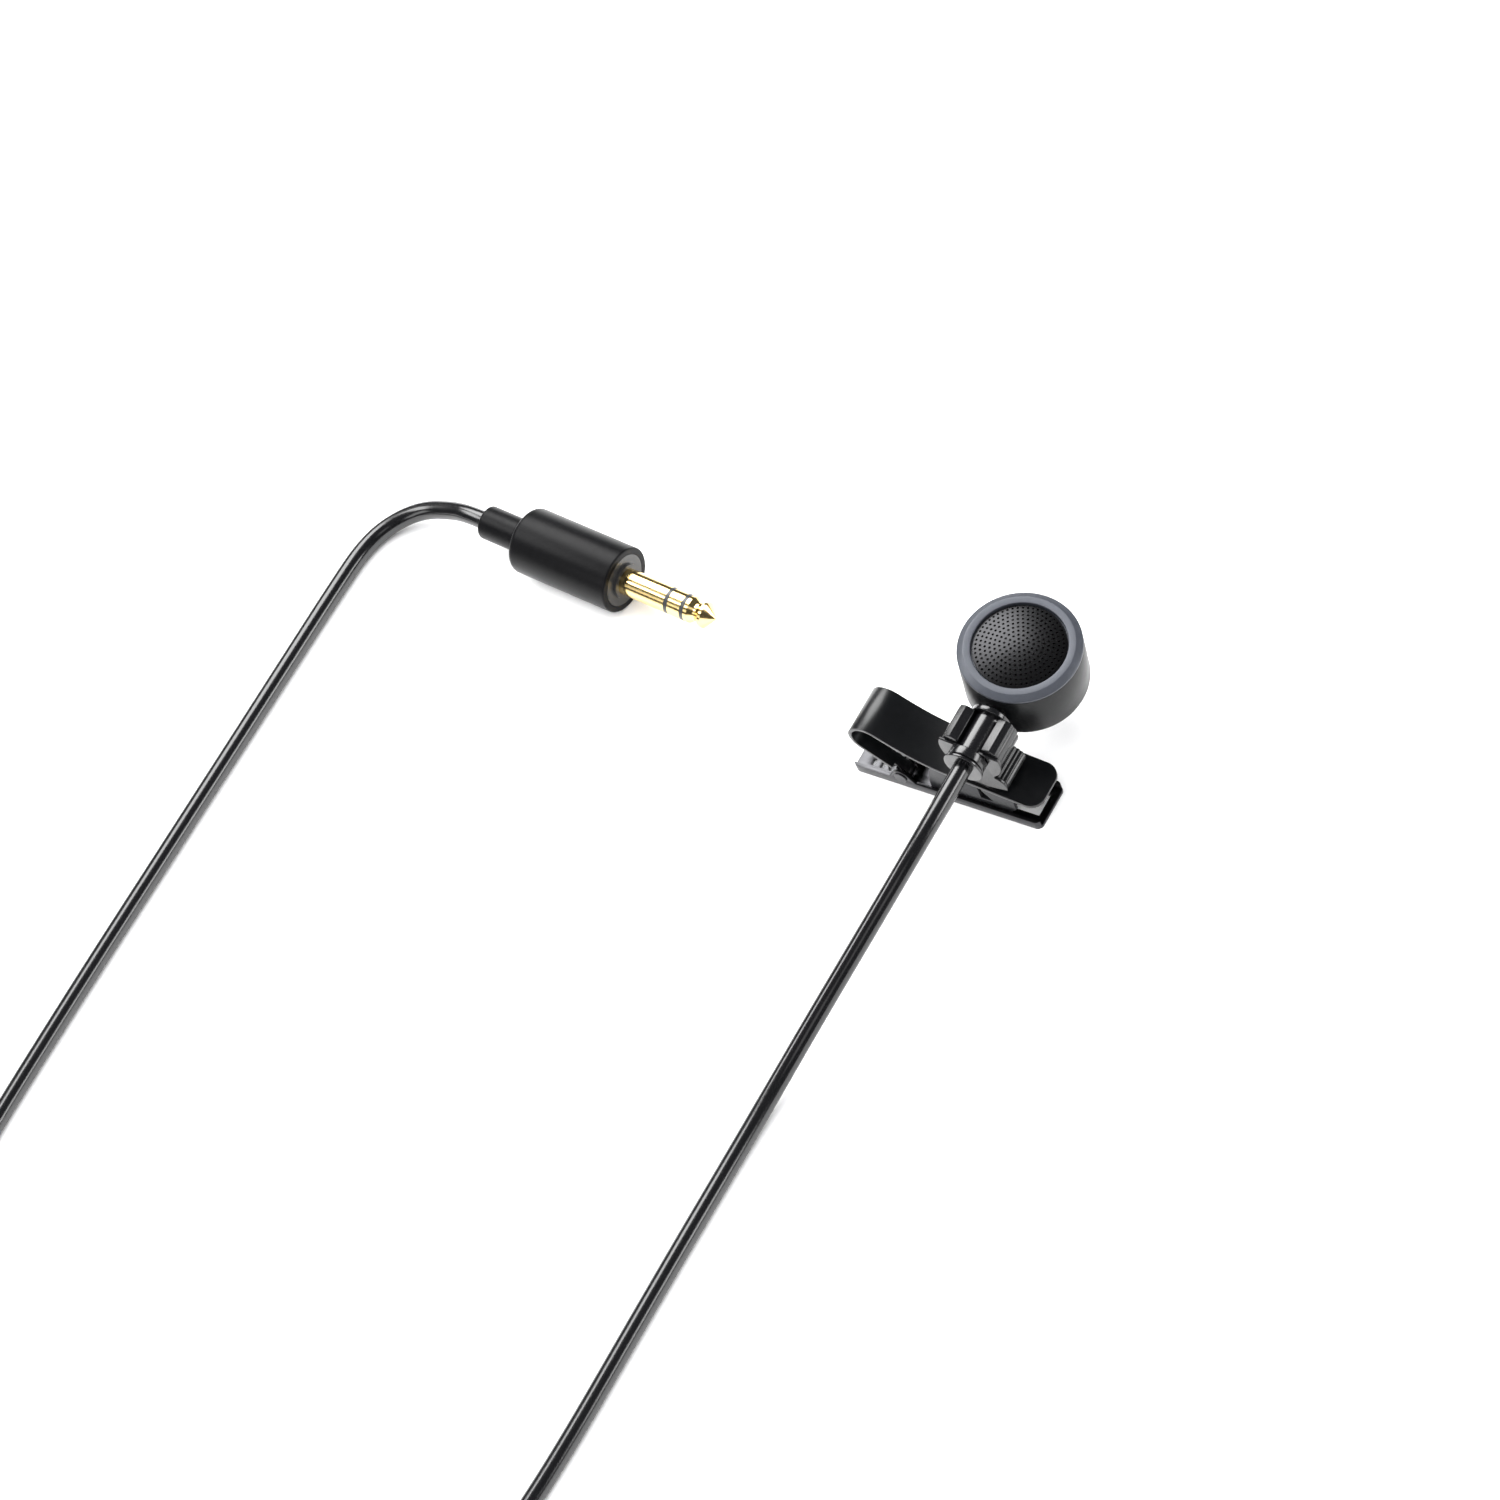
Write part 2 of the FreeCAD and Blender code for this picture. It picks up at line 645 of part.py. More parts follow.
def plug_positions():
    """Distances along the plug of its face, sleeve, ring and tip."""
    face = boot_length + barrel_length
    sleeve = face + 0.4
    first = sleeve + sleeve_length
    ring = first + insulator
    second = ring + ring_length
    tip = second + insulator
    return face, sleeve, first, ring, second, tip


def contact(x0, x1):
    return revolved_x([(x0, pin_core), (x0, pin_r), (x1, pin_r), (x1, pin_core)])


def make_core():
    """Moulded core inside the barrel, with the pin's insulating rod."""
    face, sleeve, first, ring, second, tip = plug_positions()
    inner = barrel_radius - barrel_wall
    back = boot_length + boot_overlap + 1.0
    profile = [(back, 0), (back, inner - 0.6), (face - 3.0, inner - 0.6), (face - 3.0, inner),
               (face, inner), (face, pin_r + 0.5), (sleeve, pin_r + 0.5), (sleeve, pin_core),
               (tip, pin_core), (tip, 0)]
    return in_plug(revolved_x(profile))


def make_insulators():
    face, sleeve, first, ring, second, tip = plug_positions()
    return Part.makeCompound([in_plug(contact(first, ring)), in_plug(contact(second, tip))])


def make_tip():
    tip = plug_positions()[-1]
    profile = [(tip, 0), (tip, pin_r), (tip + 0.5, pin_r), (tip + 1.15, pin_r - 0.45),
               (tip + 1.5, pin_r - 0.45), (tip + 2.2, pin_r - 0.05), (tip + 2.6, pin_r - 0.05),
               (tip + tip_length - 0.35, 0.62), (tip + tip_length, 0.2), (tip + tip_length, 0)]
    return in_plug(revolved_x(profile))


# --- coil --------------------------------------------------------------------------
def make_coil():
    edge = 1.0
    profile = [(coil_inner + edge, 0), (coil_outer - edge, 0), (coil_outer, edge),
               (coil_outer, coil_height - edge), (coil_outer - edge, coil_height),
               (coil_inner + edge, coil_height), (coil_inner, coil_height - edge), (coil_inner, edge)]
    return moved(revolved(profile), (coil_x, coil_y, 0))


def make_tie():
    """Flat band once round the bundle, at the side away from the clip."""
    t = tie_thickness
    y0 = coil_y - coil_outer
    y1 = coil_y - coil_inner
    outer = box(coil_x - tie_width / 2, coil_x + tie_width / 2, y0 - t, y1 + t, 0, coil_height + t)
    rounded = [e for e in outer.Edges if e.BoundBox.XLength > tie_width / 2]
    outer = outer.makeFillet(1.2, rounded)
    inner = box(coil_x - tie_width, coil_x + tie_width, y0, y1, t, coil_height)
    lengthwise = [e for e in inner.Edges if e.BoundBox.XLength > tie_width]
    return outer.cut(inner.makeFillet(0.8, lengthwise))


os.makedirs("parts", exist_ok=True)

face, sleeve, first, ring, second, tip = plug_positions()
gasket_radius = head_radius - shell_wall
nodes = {
    "head_shell": make_shell(),
    "bezel_ring": make_bezel(),
    "grille": make_grille(),
    "acoustic_felt": in_head(cylinder(felt_radius, (0, 0, felt_z), felt_thickness, Z)),
    "electret_capsule": in_head(cylinder(capsule_radius, (0, 0, capsule_z0), capsule_z1 - capsule_z0, Z)),
    "capsule_gasket": in_head(tube_ring(gasket_radius, capsule_radius, (0, 0, 1.6), 0.9, Z)),
    "capsule_board": in_head(cylinder(board_radius, (0, 0, capsule_z0 - 0.4), 0.4, Z)),
    "signal_leads": make_leads(),
    "stem": make_stem(),
    "stem_nut": make_nut(),
    "stem_cable": cylinder(cable_radius, (boom_x, nut_y0, boom_z), cable_end_y - nut_y0, Y),
    "holder": make_holder(),
    "holder_rivets": make_holder_rivets(),
    "clip_strap": make_strap(),
    "clip_lever": make_lever(),
    "jaw_insert": make_insert(),
    "insert_rivets": make_insert_rivets(),
    "pivot_pin": make_pin(),
    "torsion_spring": make_spring(),
    "cable_mic_run": cord_tube(mic_route, cable_diameter, "cable_mic_run"),
    "cable_plug_run": cord_tube(plug_route, cable_diameter, "cable_plug_run"),
    "cable_coil": make_coil(),
    "coil_tie": make_tie(),
    "plug_cable": in_plug(cylinder(cable_radius, (0, 0, 0), boot_length + boot_overlap + 1, X)),
    "plug_boot": make_boot(),
    "plug_barrel": make_barrel(),
    "plug_core": make_core(),
    "plug_sleeve": in_plug(contact(sleeve, first)),
    "plug_ring": in_plug(contact(ring, second)),
    "plug_insulators": make_insulators(),
    "plug_tip": make_tip(),
}

for name, shape in nodes.items():
    write(name, shape)

mid_radius = (coil_inner + coil_outer) / 2
print(f"coil: {coil_turns} turns, {2 * math.pi * mid_radius * coil_turns:.0f} mm of cable")
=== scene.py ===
"""Looks for the lavalier microphone: camera, light, cable, detailed pieces and materials.

Sizes are in millimetres in the row frame, as in the CAD source, and turned to metres
where a mesh, curve, camera or light is made. X runs along the clip to the jaw's tip,
Y along the stem to the head, and Z up.
"""

import json
import math

import bmesh
import bpy
from mathutils import Matrix, Vector


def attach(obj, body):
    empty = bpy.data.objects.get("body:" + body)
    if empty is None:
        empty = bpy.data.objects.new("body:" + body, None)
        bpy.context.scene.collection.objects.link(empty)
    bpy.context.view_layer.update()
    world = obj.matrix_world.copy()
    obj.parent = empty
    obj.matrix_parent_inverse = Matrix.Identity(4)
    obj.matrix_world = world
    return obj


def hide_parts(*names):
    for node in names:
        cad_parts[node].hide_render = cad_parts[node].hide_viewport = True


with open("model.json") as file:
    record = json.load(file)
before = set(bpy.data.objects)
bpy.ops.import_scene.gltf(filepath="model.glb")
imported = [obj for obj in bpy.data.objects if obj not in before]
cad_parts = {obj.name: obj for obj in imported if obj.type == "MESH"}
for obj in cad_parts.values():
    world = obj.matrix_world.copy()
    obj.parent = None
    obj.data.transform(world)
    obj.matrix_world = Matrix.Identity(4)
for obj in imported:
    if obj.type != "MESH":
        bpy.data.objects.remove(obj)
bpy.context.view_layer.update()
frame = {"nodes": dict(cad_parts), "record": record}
nodes = frame["nodes"]

MM = 0.001

# --- camera -----------------------------------------------------------------
AIM = (-16.33, -21.9, 20.41)        # the middle of the picture
DISTANCE = 900.0
AZIMUTH = 50.9                      # from -Y towards +X, degrees
ELEVATION = 53.03
ROLL = -26.34
LENS = 179.93
SENSOR = 36.0
CLIP_START = 0.05                   # metres
CLIP_END = 20.0

# --- studio -------------------------------------------------------------------
FLOOR_HALF = 3.0                    # metres
FLOOR_GAP = 0.00002                 # metres; the floor lies this far under the object
FLOOR_WHITE = (0.97, 0.97, 0.972, 1)
FLOOR_ROUGHNESS = 0.9
FLOOR_SPECULAR = 0.1
SKY = (0.9, 0.95, 1.0, 1)
SKY_STRENGTH = 0.10
CLIP_AT = (0, 0, 5)
# Name, position, target, width and height, power in watts, seen in reflections.
LIGHTS = (
    ("key", (-420, 350, 610), CLIP_AT, (460, 520), 8.5, True),
    ("key_side", (-600, -130, 600), CLIP_AT, (460, 200), 3.2, True),
    ("right", (650, 330, 260), CLIP_AT, (420, 260), 3.2, True),
    ("front", (-250, -760, 420), (-30, -40, 5), (700, 300), 2.2, True),
    ("camera_side", (370, -300, 640), CLIP_AT, (280, 280), 0.3, True),
    ("fill", (-30, -40, 1100), (-30, -40, 0), (1600, 1600), 30.0, False),
)

# --- meshes and materials -------------------------------------------------------
SHARP_ANGLE = 32.0                  # an edge over this many degrees stays sharp
CORNER_SHARE = 0.49                 # most of a side that one rounded corner takes
LEAST_STEP = 0.02                   # outline points closer than this are one
RIM_SECTIONS = (0.0, 0.1, 0.3, 0.6, 1.0)
WELD = 0.002                        # CAD mesh points closer than this are one
FLAT_ANGLE = 1.0                    # CAD facets within this many degrees are merged
ROUNDED_ANGLE = 35.0                # CAD edges over this many degrees are rounded
COAT_ROUGHNESS = 0.08
GRAIN_HEIGHT = 0.00002              # metres

# --- head and stem --------------------------------------------------------------
BOOM_X = 5.95                       # the stem's axis
BOOM_Z = 12.9
HEAD_Y = 4.2
HEAD_LEAN = 7.4
SHELL_EDGE = 0.12
BEZEL_SEGMENTS = 160
# Outlines turned about an axis: radius, height along the axis, corner radius.
BEZEL_PROFILE = (
    (6.0, 4.05, 0.1), (6.9, 4.05, 0.25), (7.75, 3.6, 0.25), (7.75, 3.3, 0.06), (6.95, 3.3, 0),
    (6.95, 2.65, 0), (6.45, 2.65, 0), (6.45, 3.25, 0), (5.6, 3.25, 0), (5.6, 3.4, 0),
    (6.0, 3.4, 0),
)
STEM_PROFILE = (
    (1.2, -11.2, 0), (1.5, -11.2, 0), (1.5, -10.05, 0), (1.85, -10.05, 0), (1.85, -4.75, 0),
    (2.55, -4.75, 0.2), (2.55, -3.95, 0.2), (1.5, -3.95, 0), (1.5, -2.45, 0), (1.2, -2.45, 0),
)
NUT_PROFILE = (
    (1.2, -11.8, 0.03), (2.6, -11.8, 0.14), (2.6, -11.45, 0.08), (2.15, -11.45, 0),
    (2.15, -11.25, 0), (2.45, -11.25, 0.15), (2.45, -10.05, 0.15), (1.5, -10.05, 0),
    (1.5, -11.2, 0), (1.2, -11.2, 0),
)

# --- holder ---------------------------------------------------------------------
# Outline in the holder's own XZ plane, about the stem's axis. Angles in degrees from X.
HOLDER_TILT = 8.0
HOLDER_Y = (-9.6, -4.9)
HOLDER_RADIUS = 4.05
HOLDER_RIM = 0.16
HOLDER_BORE = 1.88
BORE_ARC = (149, 391)
RIGHT_ARC = (26, -46)
LEFT_ARC = (236, 154)
OUTLINE_STEP = 1.5                  # degrees from point to point
GROOVE_WIDTH = 3.5                  # degrees
GROOVE_DEPTH = 0.16
RIGHT_GROOVES = tuple((angle, GROOVE_DEPTH) for angle in (23.5, 0, -24))
LEFT_GROOVES = tuple((angle, GROOVE_DEPTH) for angle in (156.5, 180, 204))
BOSS = (2.8, -5.1)                  # round boss beside the web
BOSS_RADIUS = 1.6
BOSS_ARC = (84, -10)
BOSS_STEP = 3                       # degrees
BOSS_GROOVE_WIDTH = 6.0             # degrees
BOSS_GROOVES = ((67, 0.17), (44, 0.17), (20, 0.17), (-4, 0.12))
THROAT = 1.6                        # half of the opening the stem snaps through
ARM_ROOT_Z = 0.99
ARM_INNER_Z = 2.0
ARM_RIDGE = (2.7, 2.3)
ARM_OUTER = (3.62, 2.04)
ARM_PROUD = 0.02                    # the arm's outer corner stands this far out of the C
ARM_OUTER_DROP = 0.35
FOOT_LEFT = -2.75
FOOT_HEIGHT = 0.6
WEB_LEFT = -2.3
FLANGE_Y = (-10.0, -9.6)
FLANGE_RADIUS = 4.25
FLANGE_BOSS_RADIUS = 1.72
FLANGE_RIM = 0.12
FLANGE_TOP = 1.35                   # height above the axis at which the plate stops
STRAP_FACE = (3.75, 6.45)           # X and Z of a point of the strap's face under the holder

# --- clip -----------------------------------------------------------------------
# Node, body, material slot, width of the rounded edges.
CLIP_PIECES = (
    ("clip_strap", "clip_upper", "strap", 0.07),
    ("clip_lever", "jaw_lever", "steel", 0.06),
    ("jaw_insert", "jaw_lever", "insert", 0.05),
)

# --- cable --------------------------------------------------------------------
CABLE_DIAMETER = 2.4
MIC_ROUTE = [
    (5.95, -11.8, 12.9), (5.95, -18.0, 12.9), (5.2, -26.5, 11.6), (3.35, -35.5, 8.4),
    (1.25, -44.5, 4.8), (-0.2, -53.5, 2.2), (-0.8, -64.0, 1.2), (-0.95, -82.0, 1.2),
    (-0.85, -112.0, 1.2), (-2.6, -126.5, 1.2), (-9.5, -137.5, 1.2), (-20.0, -144.0, 1.2),
    (-29.0, -150.5, 1.2),
]
PLUG_ROUTE = [
    (-60.6, -150.0, 5.6), (-66.5, -140.5, 1.2), (-77.5, -131.0, 1.2),
    (-88.0, -119.0, 1.2), (-93.0, -103.0, 1.2), (-93.2, -76.0, 1.2), (-92.7, -44.0, 1.2),
    (-92.4, -20.0, 1.2), (-92.25, -9.0, 1.2), (-91.95, -2.6, 1.25), (-90.2, 1.6, 1.55),
    (-86.6, 4.55, 2.4), (-81.9, 5.17, 3.55), (-78.74, 4.93, 4.35), (-75.95, 4.68, 4.35),
]
COIL_CENTRE = (-46.0, -160.0)
COIL_RADII = (14.95, 12.5, 10.05)
COIL_LAYER = 2.45
COIL_LAYERS = 4
COIL_TURNS = 10.5
TURN_POINTS = 16
STEP_SHARE = 0.2                    # share of a turn in which it steps to the next place
TIE_LIFT = 0.5                      # the turns rise over the tie, which passes under them
TIE_SPREAD = 35.0                   # degrees over which they rise

# --- plug ---------------------------------------------------------------------
PLUG_REAR = (-75.95, 4.68, 4.35)
PLUG_TURN = -5.2
BOOT_RADIUS = 2.2
BOOT_BORE = 1.22
BOOT_LENGTH = 6.6
BOOT_INSIDE = 3.0                   # length of the boot inside the barrel
BARREL_RADIUS = 4.35
BARREL_LENGTH = 15.5
BARREL_WALL = 0.9
BARREL_BACK = 1.2                   # thickness of its rear wall
BARREL_BORE = BOOT_RADIUS + 0.02


# --- small tools ----------------------------------------------------------------
def metres(point):
    return Vector(point) * MM


def place(origin, *turns):
    """Matrix in millimetres: turns in degrees about named axes, then the shift."""
    matrix = Matrix.Translation(Vector(origin))
    for axis, angle in turns:
        matrix = matrix @ Matrix.Rotation(math.radians(angle), 4, axis)
    return matrix


HEAD = place((BOOM_X, HEAD_Y, BOOM_Z), ("Y", HEAD_LEAN))
HOLDER = place((BOOM_X, 0, BOOM_Z), ("Y", HOLDER_TILT))
STEM = place((BOOM_X, 0, BOOM_Z), ("X", -90))
PLUG = place(PLUG_REAR, ("Z", PLUG_TURN), ("Y", 90))


def on_circle(centre, radius, degrees):
    angle = math.radians(degrees)
    return centre[0] + radius * math.cos(angle), centre[1] + radius * math.sin(angle)


def arc(centre, radius, start, end, steps):
    """Points on a circle's arc from start to end, in degrees."""
    return [on_circle(centre, radius, start + (end - start) * i / steps) for i in range(steps + 1)]


def rounded(corners, steps=4):
    """Outline with rounded corners from (x, y, radius); a radius of 0 keeps the corner."""
    points = []
    count = len(corners)
    for i, (x, y, radius) in enumerate(corners):
        here = Vector((x, y))
        if radius == 0:
            points.append((x, y))
            continue
        back = Vector(corners[i - 1][:2]) - here
        ahead = Vector(corners[(i + 1) % count][:2]) - here
        angle = back.angle(ahead)
        longest = CORNER_SHARE * min(back.length, ahead.length)
        reach = min(radius / math.tan(angle / 2), longest)
        start = here + back.normalized() * reach
        end = here + ahead.normalized() * reach
        for k in range(steps + 1):
            t = k / steps
            # A quadratic curve from start to end that leans on the corner.
            point = start * (1 - t) ** 2 + here * 2 * t * (1 - t) + end * t ** 2
            points.append((point.x, point.y))
    return points


def finish_mesh(name, bm, matrix=Matrix.Identity(4)):
    """Object from a mesh in millimetres, smooth but for its sharp edges."""
    bmesh.ops.transform(bm, matrix=Matrix.Scale(MM, 4) @ matrix, verts=bm.verts)
    bmesh.ops.recalc_face_normals(bm, faces=bm.faces)
    limit = math.radians(SHARP_ANGLE)
    for face in bm.faces:
        face.smooth = True
    for edge in bm.edges:
        edge.smooth = len(edge.link_faces) == 2 and edge.calc_face_angle() < limit
    mesh = bpy.data.meshes.new(name)
    bm.to_mesh(mesh)
    bm.free()
    obj = bpy.data.objects.new(name, mesh)
    bpy.context.scene.collection.objects.link(obj)
    return obj


def lathe(name, profile, matrix, segments=128):
    """Body of revolution about the local Z from a closed outline of (radius, height)."""
    bm = bmesh.new()
    rings = []
    for radius, height in profile:
        ring = []
        for i in range(segments):
            angle = 2 * math.pi * i / segments
            ring.append(bm.verts.new((radius * math.cos(angle), radius * math.sin(angle), height)))
        rings.append(ring)
    for a, b in zip(rings, rings[1:] + rings[:1]):
        for i in range(segments):
            j = (i + 1) % segments
            bm.faces.new((a[i], a[j], b[j], b[i]))
    return finish_mesh(name, bm, matrix)


def extruded(name, outline, y0, y1, matrix, rim):
    """Prism along the local Y from a clockwise outline in the XZ plane, with rounded rims."""
    outline = [Vector(point) for point in outline]
    outline = [point for i, point in enumerate(outline)
               if (point - outline[i - 1]).length > LEAST_STEP]
    count = len(outline)
    inward = []
    for i, point in enumerate(outline):
        back = (point - outline[i - 1]).normalized()
        ahead = (outline[(i + 1) % count] - point).normalized()
        inward.append(Vector((back.y + ahead.y, -back.x - ahead.x)).normalized())
    sections = []
    for depth in RIM_SECTIONS:
        inset = rim * (1 - math.sqrt(1 - (1 - depth) ** 2))
        sections.append((y0 + rim * depth, inset))
    sections += [(y0 + y1 - y, inset) for y, inset in reversed(sections)]
    bm = bmesh.new()
    rings = []
    for y, inset in sections:
        moved = [point + side * inset for point, side in zip(outline, inward)]
        rings.append([bm.verts.new((point.x, y, point.y)) for point in moved])
    bm.faces.new(rings[0])
    bm.faces.new(rings[-1][::-1])
    for a, b in zip(rings, rings[1:]):
        for i in range(count):
            j = (i + 1) % count
            bm.faces.new((a[i], b[i], b[j], a[j]))
    return finish_mesh(name, bm, matrix)


def softened(name, node, width):
    """New piece from a CAD node's mesh, with its sharp edges rounded."""
    bm = bmesh.new()
    bm.from_mesh(nodes[node].data)
    bmesh.ops.transform(bm, matrix=Matrix.Scale(1 / MM, 4), verts=bm.verts)
    bmesh.ops.remove_doubles(bm, verts=bm.verts, dist=WELD)
    bmesh.ops.dissolve_limit(bm, angle_limit=math.radians(FLAT_ANGLE), verts=bm.verts,
                             edges=bm.edges)
    limit = math.radians(ROUNDED_ANGLE)
    edges = [edge for edge in bm.edges
             if len(edge.link_faces) == 2 and edge.calc_face_angle() > limit]
    bmesh.ops.bevel(bm, geom=edges, offset=width, segments=2, profile=0.5, affect="EDGES",
                    clamp_overlap=True)
    return finish_mesh(name, bm)


# --- camera and stage -----------------------------------------------------------
def make_camera():
    data = bpy.data.cameras.new("camera")
    data.lens = LENS
    data.sensor_width = SENSOR
    data.clip_start = CLIP_START
    data.clip_end = CLIP_END
    camera = bpy.data.objects.new("camera", data)
    turn = (Matrix.Rotation(math.radians(AZIMUTH), 4, "Z")
            @ Matrix.Rotation(math.radians(90 - ELEVATION), 4, "X")
            @ Matrix.Rotation(math.radians(ROLL), 4, "Z"))
    back = Matrix.Translation((0, 0, DISTANCE * MM))
    camera.matrix_world = Matrix.Translation(metres(AIM)) @ turn @ back
    bpy.context.scene.collection.objects.link(camera)
    bpy.context.scene.camera = camera


def area_light(name, position, target, size, power, mirrored):
    data = bpy.data.lights.new(name, "AREA")
    data.shape = "RECTANGLE"
    data.size, data.size_y = (value * MM for value in size)
    data.energy = power
    light = bpy.data.objects.new(name, data)
    light.visible_glossy = mirrored
    light.location = metres(position)
    light.rotation_euler = (metres(target) - light.location).to_track_quat("-Z", "Y").to_euler()
    bpy.context.scene.collection.objects.link(light)


def make_stage():
    mesh = bpy.data.meshes.new("floor")
    corners = [(x * FLOOR_HALF, y * FLOOR_HALF, 0) for x, y in ((-1, -1), (1, -1), (1, 1), (-1, 1))]
    mesh.from_pydata(corners, [], [(0, 1, 2, 3)])
    floor = bpy.data.objects.new("floor", mesh)
    bpy.context.scene.collection.objects.link(floor)
    floor.location.z = -FLOOR_GAP
    white = bpy.data.materials.new("floor_white")
    white.use_nodes = True
    shader = white.node_tree.nodes["Principled BSDF"]
    shader.inputs["Base Color"].default_value = FLOOR_WHITE
    shader.inputs["Roughness"].default_value = FLOOR_ROUGHNESS
    shader.inputs["Specular IOR Level"].default_value = FLOOR_SPECULAR
    mesh.materials.append(white)
    world = bpy.data.worlds.new("studio")
    world.use_nodes = True
    sky = world.node_tree.nodes["Background"]
    sky.inputs["Color"].default_value = SKY
    sky.inputs["Strength"].default_value = SKY_STRENGTH
    bpy.context.scene.world = world
    for light in LIGHTS:
        area_light(*light)
    bpy.context.scene.view_settings.view_transform = "Standard"
    bpy.context.scene.view_settings.look = "None"


# --- materials --------------------------------------------------------------------
def material(name, colour, roughness, metallic=0.0, specular=0.5, coat=0.0, mottle=0.1,
             mottle_scale=900, grain=0.0, grain_scale=9000, stretch=(1, 1, 1)):
    """Procedural material: mottled colour and roughness, with a fine grain in relief."""
    made = bpy.data.materials.new(name)
    made.use_nodes = True
    tree = made.node_tree
    shader = tree.nodes["Principled BSDF"]
    shader.inputs["Metallic"].default_value = metallic
    shader.inputs["Specular IOR Level"].default_value = specular
    shader.inputs["Coat Weight"].default_value = coat
    shader.inputs["Coat Roughness"].default_value = COAT_ROUGHNESS
    place_at = tree.nodes.new("ShaderNodeTexCoord")
    scale = tree.nodes.new("ShaderNodeMapping")
    scale.inputs["Scale"].default_value = stretch
    tree.links.new(place_at.outputs["Object"], scale.inputs["Vector"])

    def noise(size, detail):
        texture = tree.nodes.new("ShaderNodeTexNoise")
        texture.inputs["Scale"].default_value = size
        texture.inputs["Detail"].default_value = detail
        tree.links.new(scale.outputs["Vector"], texture.inputs["Vector"])
        return texture.outputs["Fac"]

    clouds = noise(mottle_scale, 4)
    ramp = tree.nodes.new("ShaderNodeValToRGB")
    for element, gain in zip(ramp.color_ramp.elements, (1 - mottle, 1 + mottle)):
        element.color = (*(min(1.0, channel * gain) for channel in colour), 1)
    ramp.color_ramp.elements[0].position = 0.3
    ramp.color_ramp.elements[1].position = 0.7
    tree.links.new(clouds, ramp.inputs["Fac"])
    tree.links.new(ramp.outputs["Color"], shader.inputs["Base Color"])
    spread = tree.nodes.new("ShaderNodeMapRange")
    spread.inputs["To Min"].default_value = roughness * (1 - mottle)
    spread.inputs["To Max"].default_value = roughness * (1 + mottle)
    tree.links.new(clouds, spread.inputs["Value"])
    tree.links.new(spread.outputs["Result"], shader.inputs["Roughness"])
    if grain:
        bump = tree.nodes.new("ShaderNodeBump")
        bump.inputs["Strength"].default_value = grain
        bump.inputs["Distance"].default_value = GRAIN_HEIGHT
        tree.links.new(noise(grain_scale, 2), bump.inputs["Height"])
        tree.links.new(bump.outputs["Normal"], shader.inputs["Normal"])
    return made


def dress(obj, slot, body=None, replaced=()):
    """Give a piece its material; a piece given a body is also put under that body's empty, and the
    CAD nodes it replaces are hidden.
    """
    obj.data.materials.clear()
    obj.data.materials.append(LOOKS[slot])
    if body:
        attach(obj, body)
        if replaced:
            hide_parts(*replaced)
    return obj


LOOKS = {
    "shell": material("graphite_satin", (0.0035, 0.0037, 0.0042), 0.38, 0.0, 0.20, grain=0.12),
    "bezel": material("slate_anodised", (0.044, 0.048, 0.059), 0.40, 0.3, 0.5, mottle=0.06,
                      grain=0.10),
    "grille": material("grille_metal", (0.030, 0.030, 0.0315), 0.33, 1.0, 0.5, mottle=0.05),
    "felt": material("felt", (0.035, 0.035, 0.036), 0.95, mottle=0.4, mottle_scale=6000, grain=1.0),
    "capsule": material("capsule_aluminium", (0.72, 0.72, 0.73), 0.3, 1.0),
    "gasket": material("gasket_rubber", (0.02, 0.02, 0.02), 0.75, grain=0.3),
    "board": material("board_green", (0.03, 0.16, 0.08), 0.35, coat=0.4),
    "leads": material("lead_red", (0.5, 0.05, 0.04), 0.4),
    "stem": material("stem_gloss_black", (0.004, 0.004, 0.0046), 0.20, 0.0, 0.6, mottle=0.08),
    "holder": material("holder_satin_black", (0.004, 0.004, 0.0046), 0.26, 0.0, 0.5, grain=0.10),
    "strap": material("strap_black_finish", (0.0028, 0.0029, 0.0034), 0.30, 0.0, 0.38, grain=0.08),
    "steel": material("dark_nickel", (0.055, 0.055, 0.058), 0.30, 1.0, mottle=0.08,
                      mottle_scale=500, grain=0.03, grain_scale=3000, stretch=(1, 6, 1)),
    "insert": material("insert_grey", (0.022, 0.0225, 0.025), 0.32, 0.5, 0.5, grain=0.08),
    "cable": material("cable_black", (0.0035, 0.0035, 0.004), 0.20, 0.0, 0.6, mottle=0.08),
    "tie": material("tie_black", (0.03, 0.03, 0.03), 0.6, grain=0.5, grain_scale=3500),
    "plug_body": material("plug_satin_black", (0.0026, 0.0026, 0.003), 0.36, 0.0, 0.10, grain=0.10),
    "contact": material("contact_gold", (0.83, 0.62, 0.27), 0.16, 1.0, mottle=0.05),
    "insulator": material("insulator_black", (0.02, 0.02, 0.02), 0.3),
}


# --- cable --------------------------------------------------------------------------
def coil_points():
    """Centres of the turns, wound clockwise, in and out through rings and up by layers."""
    places = []
    for layer in range(COIL_LAYERS):
        order = COIL_RADII if layer % 2 == 0 else COIL_RADII[::-1]
        places += [(radius, CABLE_DIAMETER / 2 + COIL_LAYER * layer) for radius in order]
    # The spline cuts inside its points, so they stand a little further out.
    outward = 1 / math.cos(math.pi / TURN_POINTS)
    points = []
    for i in range(int(COIL_TURNS * TURN_POINTS) + 1):
        turn, part = divmod(i / TURN_POINTS, 1)
        here = places[int(turn)]
        ahead = places[int(turn) + 1]
        step = max(0.0, (part - 1 + STEP_SHARE) / STEP_SHARE)
        radius = (here[0] + (ahead[0] - here[0]) * step) * outward
        height = here[1] + (ahead[1] - here[1]) * step
        angle = -2 * math.pi * i / TURN_POINTS
        off_tie = math.degrees(abs((angle + math.pi / 2) % (2 * math.pi)))
        off_tie = min(off_tie, 360 - off_tie)
        height += TIE_LIFT * math.exp(-(off_tie / TIE_SPREAD) ** 2)
        points.append((COIL_CENTRE[0] + radius * math.cos(angle),
                       COIL_CENTRE[1] + radius * math.sin(angle), height))
    return points


